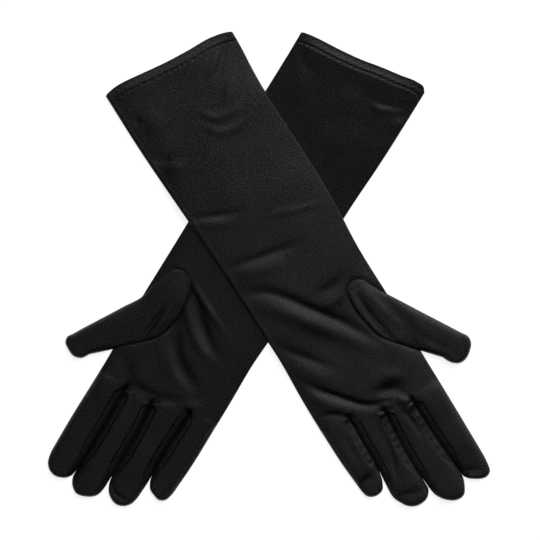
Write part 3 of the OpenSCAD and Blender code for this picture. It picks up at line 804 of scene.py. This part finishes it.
for side in SIDES:
    u, v, upper, lower = palm_grids[side]
    palm = patch_of(side, u, v, upper)
    back = patch_of(side, u, v, lower, lower=True)
    fingers_top = []
    fingers_low = []
    for k in range(4):
        columns = slice(FIRST[k], FIRST[k] + BLOCK)
        fu, fv, ftop, flow = finger_grids[side, k]
        fu[0], fv[0], ftop[0], flow[0] = u[-1, columns], v[-1, columns], upper[-1, columns], lower[-1, columns]
        fingers_top.append(patch_of(side, fu, fv, ftop))
        fingers_low.append(patch_of(side, fu, fv, flow, lower=True))
    shared_normals([palm, back] + fingers_top + fingers_low)
    for name, patch, nodes in (
            ("palm_panel", palm, ("palm_panel", "folded_edge")),
            ("back_panel", back, ("back_panel", "side_seam"))):
        piece = cloth_piece(f"{side}_{name}", [cut(patch)], SATIN)
        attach(piece, f"{side}_glove")
        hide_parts(*[f"{side}_{node}" for node in nodes])
    for k, digit in enumerate(FINGERS):
        high_seam, low_seam = 6, BLOCK - 7
        strips = {"index": ("low",), "little": ("high",)}.get(digit, ("high", "low"))
        first_column = high_seam if "high" in strips else 0
        last_column = low_seam if "low" in strips else BLOCK - 1
        front = slice(first_column, last_column + 1)
        top, low = fingers_top[k], fingers_low[k]
        outer_node = {"index": ["index_fold"], "little": ["little_seam"]}.get(digit, [])
        for name, patch, extra in (("front", top, outer_node), ("back", low, [])):
            piece = cloth_piece(f"{side}_{digit}_{name}", [cut(patch, columns=front)], SATIN)
            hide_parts(f"{side}_{digit}_{name}", *[f"{side}_{node}" for node in extra])
            ride_or_blend(piece)
        strip_nodes = {"index": {"low": "index_fourchette"},
                       "middle": {"high": "middle_fourchette_index_side", "low": "middle_fourchette_ring_side"},
                       "ring": {"high": "ring_fourchette_middle_side", "low": "ring_fourchette_little_side"},
                       "little": {"high": "little_fourchette"}}[digit]
        for which in strips:
            columns = slice(0, high_seam + 1) if which == "high" else slice(low_seam, BLOCK)
            node = strip_nodes[which]
            piece = cloth_piece(f"{side}_{node}", [cut(top, columns=columns), cut(low, columns=columns)],
                                STRIP_SATIN)
            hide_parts(f"{side}_{node}")
            ride_or_blend(piece)

# %% [markdown]
# ## The thumb
# The thumb is a tube sewn into an oval hole in the palm. Its grid runs from the top of the oval to the tip.
# Across it, each row goes from its upper edge to its lower edge. Inside the hand the edges lie on the palm
# along the oval seam, and outside the hand they lie on the table like those of a finger.

# %% Thumb
THUMB_ROWS = 110
THUMB_COLUMNS = 41
THUMB_TIP_ROWS = 18
THUMB_FOLDS = {
    "right": [(-2.3, 1.15, [(235, 29), (250, 29.6), (267, 31)]), (0.9, 2.2, [(236, 24), (250, 24), (262, 27)]),
              (0.4, 4.0, [(222, 30), (245, 38), (270, 52)])],
    "left": [(-1.9, 2.6, [(226, 27), (246, 27.5), (272, 33)]), (0.9, 4.0, [(218, 33), (240, 36), (268, 44)]),
             (-0.5, 3.0, [(270, 50), (285, 56), (300, 66)])],
}


def thumb_grid(side):
    """Upper and lower sheet of the thumb, as rows between its two edges.

    The height is the palm's own surface at the seam inside the hand and the table outside it, plus a dome
    across the width. The tip rows run on to the tip's outline, closer together towards it."""
    upper_edge = path_through(THUMB_UPPER[side], THUMB_ROWS)
    lower_edge = path_through(THUMB_LOWER[side], THUMB_ROWS)
    q = mix(np.linspace(1, -1, THUMB_COLUMNS), np.sin(np.linspace(1, -1, THUMB_COLUMNS) * math.pi / 2), 0.6)
    centre, half = (upper_edge + lower_edge) / 2, (upper_edge - lower_edge) / 2
    body = centre[:, None, :] + half[:, None, :] * q[None, :, None]
    outline = path_through([upper_edge[-1], *THUMB_TIP[side], lower_edge[-1]], 120)
    place = (1 - q) / 2 * 119
    rim = np.stack([np.interp(place, np.arange(120), outline[:, n]) for n in (0, 1)], -1)
    advance = np.sin(np.linspace(0, math.pi / 2, THUMB_TIP_ROWS + 1)[1:])[:, None]
    tip = mix(body[-1][None], rim[None], advance[..., None])
    u, v = np.moveaxis(np.concatenate([body, tip]), -1, 0)
    from_end = np.clip(np.linalg.norm(tip - rim[None], axis=-1) / TIP_FALL, 0, 1)
    fall = 1 - (1 - np.sqrt(1 - (1 - from_end) ** 2)) * smoothstep(3 * advance)
    inside = smoothstep((57.0 - v) / 17.0)
    hand = TABLE_GAP + EDGE_FULL + (3.9 - EDGE_FULL) * dome((v + 2) / 50, 3.0)
    palm_surface = mix(TABLE_GAP + EDGE_FULL * 0.6, np.maximum(hand + folds_at(side, u, v) - 0.9, 1.2), inside)
    thick = np.concatenate([np.ones((THUMB_ROWS, THUMB_COLUMNS)), fall])
    opening = np.concatenate([smoothstep(np.linspace(0, 4.0, THUMB_ROWS)), np.ones(THUMB_TIP_ROWS)])[:, None]
    full = mix(3.9, 2.2, inside) * opening
    over = np.sqrt(np.clip(1 - np.abs(q[None, :]) ** 5.0, 0, 1))
    wrinkles = np.zeros_like(u)
    for height, width, points in THUMB_FOLDS[side]:
        s, gap = nearest_on(path_through(points, 12), u, v)
        wrinkles += height * np.exp(-(gap / width) ** 2) * np.sin(np.pi * np.clip(s, 0.03, 0.97)) ** 0.6
    top = palm_surface + (full + 0.25 * slack_at(side, 2.2 * u, 2.2 * v) + wrinkles) * over * thick
    middle_height = TABLE_GAP + EDGE_FULL * 0.6
    bottom = mix(middle_height - (middle_height - TABLE_GAP) * over * thick, palm_surface - 0.4, inside)
    top = np.maximum(top, bottom + 0.1)
    bottom[:, 0], bottom[:, -1] = top[:, 0], top[:, -1]
    bottom[-1] = top[-1]
    return u, v, top, bottom


SPLIT_ROW = int(THUMB_ROWS * 0.40)
for side in SIDES:
    u, v, top, bottom = thumb_grid(side)
    above, below = patch_of(side, u, v, top), patch_of(side, u, v, bottom, lower=True)
    shared_normals([above, below])
    base, free = slice(0, SPLIT_ROW + 1), slice(SPLIT_ROW, None)
    gusset = cloth_piece(f"{side}_thumb_gusset", [cut(above, rows=base), cut(below, rows=base)], SATIN)
    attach(gusset, f"{side}_glove")
    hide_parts(f"{side}_thumb_gusset")
    for name, patch, nodes in (("thumb_front", above, ("thumb_front", "thumb_fold")),
                               ("thumb_back", below, ("thumb_back", "thumb_seam"))):
        piece = cloth_piece(f"{side}_{name}", [cut(patch, rows=free)], SATIN)
        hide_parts(*[f"{side}_{node}" for node in nodes])
        ride_or_blend(piece)
print("thumb grid:", u.shape)

# %% [markdown]
# ## Hem and stitches
# The sleeve's raw edge is turned inside by a hem's depth and sewn down. The turned-in band shows at the
# mouth of the cuff, and a row of short stitches shows along its inner edge.

# %% Hem bands
TURN_RADIUS = 0.3


def hem_grid(side, u, v, z, sign):
    """The cloth turned round the cuff edge and inwards: a half circle, then a band inside the outer layer."""
    angle = np.linspace(0, math.pi, 9)
    inward = np.linspace(0.8, HEM_DEPTH - 0.2, 12)
    edge_u, edge_v, edge_z = u[0][None, :], v[0][None, :], z[0][None, :]
    du = np.concatenate([-TURN_RADIUS * np.sin(angle), inward])[:, None]
    dz = np.concatenate([-TURN_RADIUS * (1 - np.cos(angle)), np.full(12, -2 * TURN_RADIUS)])[:, None] * sign
    inner_z = np.concatenate([np.zeros(9), np.ones(12)])[:, None]
    rows = np.searchsorted(u[:, u.shape[1] // 2] - u[0, u.shape[1] // 2], inward)
    follow = np.concatenate([np.zeros((9, u.shape[1])), z[rows] - z[0][None, :]])
    return edge_u + du, edge_v + 0 * du, edge_z + dz + follow * inner_z


for side in SIDES:
    u, v, upper, lower = palm_grids[side]
    inner = slice(4, COLUMNS - 4)
    for name, z, sign in (("hem_palm_side", upper, 1), ("hem_back_side", lower, -1)):
        hu, hv, hz = hem_grid(side, u[:, inner], v[:, inner], z[:, inner], sign)
        hz = np.maximum(hz, TABLE_GAP - 0.05)
        patch = patch_of(side, hu, hv, hz, lower=sign < 0)
        patch["flip"] = not patch["flip"]
        shared_normals([patch])
        piece = cloth_piece(f"{side}_{name}", [cut(patch)], HEM_SATIN_PAINTED_SHINE, thickness=0.3)
        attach(piece, f"{side}_glove")
        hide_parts(f"{side}_{name}")
print("hem depth", HEM_DEPTH, "mm")

# %% [markdown]
# ## Stitches
# A row of sewing shows as short raised bars of thread that follow the seam. All stitches of one seam are one
# mesh, because they are one thread.

# %% Stitches
STITCH_SIDES = 6


def stitches(side, name, places, directions, length, radius):
    """Many short stitches in one mesh: each is a small spindle, six sided, laid along its direction."""
    ring = np.linspace(0, 2 * math.pi, STITCH_SIDES + 1)[:-1]
    along = np.array([-1.0, -0.75, 0.0, 0.75, 1.0])
    corners_each = STITCH_SIDES * len(along)
    round_off = np.array([0.05, 0.8, 1.0, 0.8, 0.05])
    x = along[:, None] * length / 2 + 0 * ring
    y = round_off[:, None] * radius * np.cos(ring)
    z = round_off[:, None] * radius * np.sin(ring)
    unit = directions / np.linalg.norm(directions, axis=1, keepdims=True)
    beside = np.stack([-unit[:, 1], unit[:, 0]], 1)
    u = places[:, 0, None, None] + x * unit[:, 0, None, None] + y * beside[:, 0, None, None]
    v = places[:, 1, None, None] + x * unit[:, 1, None, None] + y * beside[:, 1, None, None]
    h = places[:, 2, None, None] + z + 0 * x
    points = to_world(side, u, v, h).reshape(-1, 3)
    n = STITCH_SIDES
    one = np.array([[r * n + c, r * n + (c + 1) % n, (r + 1) * n + (c + 1) % n, (r + 1) * n + c]
                    for r in range(len(along) - 1) for c in range(n)])
    one = one if side == "left" else one[:, ::-1]
    first = corners_each * np.arange(len(places))[:, None]
    faces = (one[None] + first[..., None]).reshape(-1, 4)
    ends = np.concatenate([first + np.arange(n)[::-1], first + corners_each - n + np.arange(n)])
    ends = ends if side == "left" else ends[:, ::-1]
    mesh = bpy.data.meshes.new(f"{name}_thread")
    mesh.from_pydata(points, [], faces.tolist() + ends.tolist())
    mesh.polygons.foreach_set("use_smooth", np.ones(len(mesh.polygons), bool))
    layer = mesh.uv_layers.new(name="Cloth")
    corners = np.empty(len(mesh.loops), np.int32)
    mesh.loops.foreach_get("vertex_index", corners)
    flat = np.stack([u, v], -1).reshape(-1, 2) / 10.0
    layer.data.foreach_set("uv", flat[corners].astype(np.float32).ravel())
    mesh.materials.append(THREAD)
    piece = bpy.data.objects.new(f"{name}_thread", mesh)
    bpy.context.scene.collection.objects.link(piece)
    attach(piece, f"{side}_glove")
    return piece


def height_on(side, sheet, u, v):
    """Height of a palm sheet at given places: that of the nearest grid point."""
    gu, gv, z = palm_grids[side][0].ravel(), palm_grids[side][1].ravel(), palm_grids[side][sheet].ravel()
    k = ((gu[None, :] - u[:, None]) ** 2 + (gv[None, :] - v[:, None]) ** 2).argmin(1)
    return z[k]


for side in SIDES:
    v = np.arange(-49, 49, 3.4)
    u = curve(CUFF_EDGE[side], v) + HEM_DEPTH
    ahead = curve(CUFF_EDGE[side], v + 1.0) + HEM_DEPTH
    places = np.stack([u, v, height_on(side, 2, u, v) + CLOTH + 0.02], 1)
    directions = np.stack([ahead - u, np.ones_like(v)], 1)
    piece = stitches(side, f"{side}_hem_stitching", places, directions, 2.3, 0.17)
    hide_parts(f"{side}_hem_stitching")
    seam = path_through(THUMB_LOWER[side][:9], 37)
    height = height_on(side, 2, seam[1:-1, 0], seam[1:-1, 1]) + CLOTH + 0.05
    places = np.concatenate([seam[1:-1], height[:, None]], 1)
    piece = stitches(side, f"{side}_gusset_stitching", places, np.gradient(seam, axis=0)[1:-1], 2.0, 0.15)
    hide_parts(f"{side}_gusset_stitching")

# %% [markdown]
# ## Table, light and camera
# Black satin shows its shape only by what it mirrors. The table is bright white and the room is dark but
# for one large soft light low down beyond the cuffs, so a flat stretch of cloth stays black and the wall of a
# fold catches the light. A weak soft box over the fingers lifts the lower half a little.

# %% Stage
LIGHT_FROM = (0.40, 0.86, 0.32)
ROOM_DARK, ROOM_BRIGHT = 0.006, 2.1
TABLE_REACH = 30.0


def plain_floor():
    mesh = bpy.data.meshes.new("Table")
    reach = TABLE_REACH
    corners = [(-reach, -reach, 0), (reach, -reach, 0), (reach, reach, 0), (-reach, reach, 0)]
    mesh.from_pydata(corners, [], [(0, 1, 2, 3)])
    floor = bpy.data.objects.new("Table", mesh)
    bpy.context.scene.collection.objects.link(floor)
    material = bpy.data.materials.new("White table")
    material.use_nodes = True
    shader = material.node_tree.nodes["Principled BSDF"]
    shader.inputs["Base Color"].default_value = (0.9, 0.9, 0.9, 1)
    shader.inputs["Roughness"].default_value = 0.8
    shader.inputs["Specular IOR Level"].default_value = 0.1
    shader.inputs["Emission Color"].default_value = (1, 1, 1, 1)
    shader.inputs["Emission Strength"].default_value = 0.8
    mesh.materials.append(material)
    floor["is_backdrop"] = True


def room_light():
    """World light by direction: one very large soft light beyond the cuffs and to the right, half way up.

    It fades with the cosine of the angle to its middle, so overhead and the other side are nearly black,
    and it fades again towards the horizon."""
    world = bpy.data.worlds.new("Studio")
    world.use_nodes = True
    nodes, links = world.node_tree.nodes, world.node_tree.links
    direction = nodes.new("ShaderNodeTexCoord")
    facing = nodes.new("ShaderNodeVectorMath")
    facing.operation = "DOT_PRODUCT"
    facing.inputs[1].default_value = LIGHT_FROM
    links.new(direction.outputs["Generated"], facing.inputs[0])
    parts = nodes.new("ShaderNodeSeparateXYZ")
    links.new(direction.outputs["Generated"], parts.inputs[0])

    def eased(value, start, stop, low, high):
        ramp = nodes.new("ShaderNodeMapRange")
        ramp.interpolation_type = "SMOOTHSTEP"
        for socket, number in zip(("From Min", "From Max", "To Min", "To Max"), (start, stop, low, high)):
            ramp.inputs[socket].default_value = number
        links.new(value, ramp.inputs["Value"])
        return ramp.outputs["Result"]

    product = nodes.new("ShaderNodeMath")
    product.operation = "MULTIPLY_ADD"
    product.inputs[2].default_value = ROOM_DARK
    links.new(eased(facing.outputs["Value"], 0.6, 1.0, 0.0, 1.0), product.inputs[0])
    links.new(eased(parts.outputs["Z"], 0.0, 0.45, 0.25, 1.0), product.inputs[1])
    links.new(product.outputs[0], nodes["Background"].inputs["Color"])
    nodes["Background"].inputs["Strength"].default_value = ROOM_BRIGHT
    bpy.context.scene.world = world


def soft_box(name, place, size, power):
    light = bpy.data.lights.new(name, "AREA")
    light.shape = "RECTANGLE"
    light.size, light.size_y = size
    light.energy = power
    lamp = bpy.data.objects.new(name, light)
    lamp.location = place
    away = -np.array(place, float)
    lamp.rotation_euler = (math.atan2(math.hypot(away[0], away[1]), -away[2]), 0,
                           math.atan2(away[1], away[0]) - math.pi / 2)
    bpy.context.scene.collection.objects.link(lamp)


def camera():
    """Looks straight down; the frame is as wide as the table area that the camera sees."""
    lens, sensor, frame_width = 85.0, 36.0, 0.4147
    data = bpy.data.cameras.new("Camera")
    data.lens, data.sensor_width = lens, sensor
    eye = bpy.data.objects.new("Camera", data)
    eye.location = (1.9 * MM, -0.2 * MM, frame_width * lens / sensor + 0.004)
    bpy.context.scene.collection.objects.link(eye)
    bpy.context.scene.camera = eye


plain_floor()
room_light()
soft_box("Overhead glow", (-0.08, -0.42, 1.6), (0.8, 0.4), 1.8)
camera()
bpy.context.scene.view_settings.view_transform = "Standard"
bpy.context.scene.view_settings.look = "None"

# %% Size and finish
low, high = [list(map(float, corner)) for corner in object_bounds()]
print("visual box in mm:", [round((b - a) / MM, 1) for a, b in zip(low, high)])
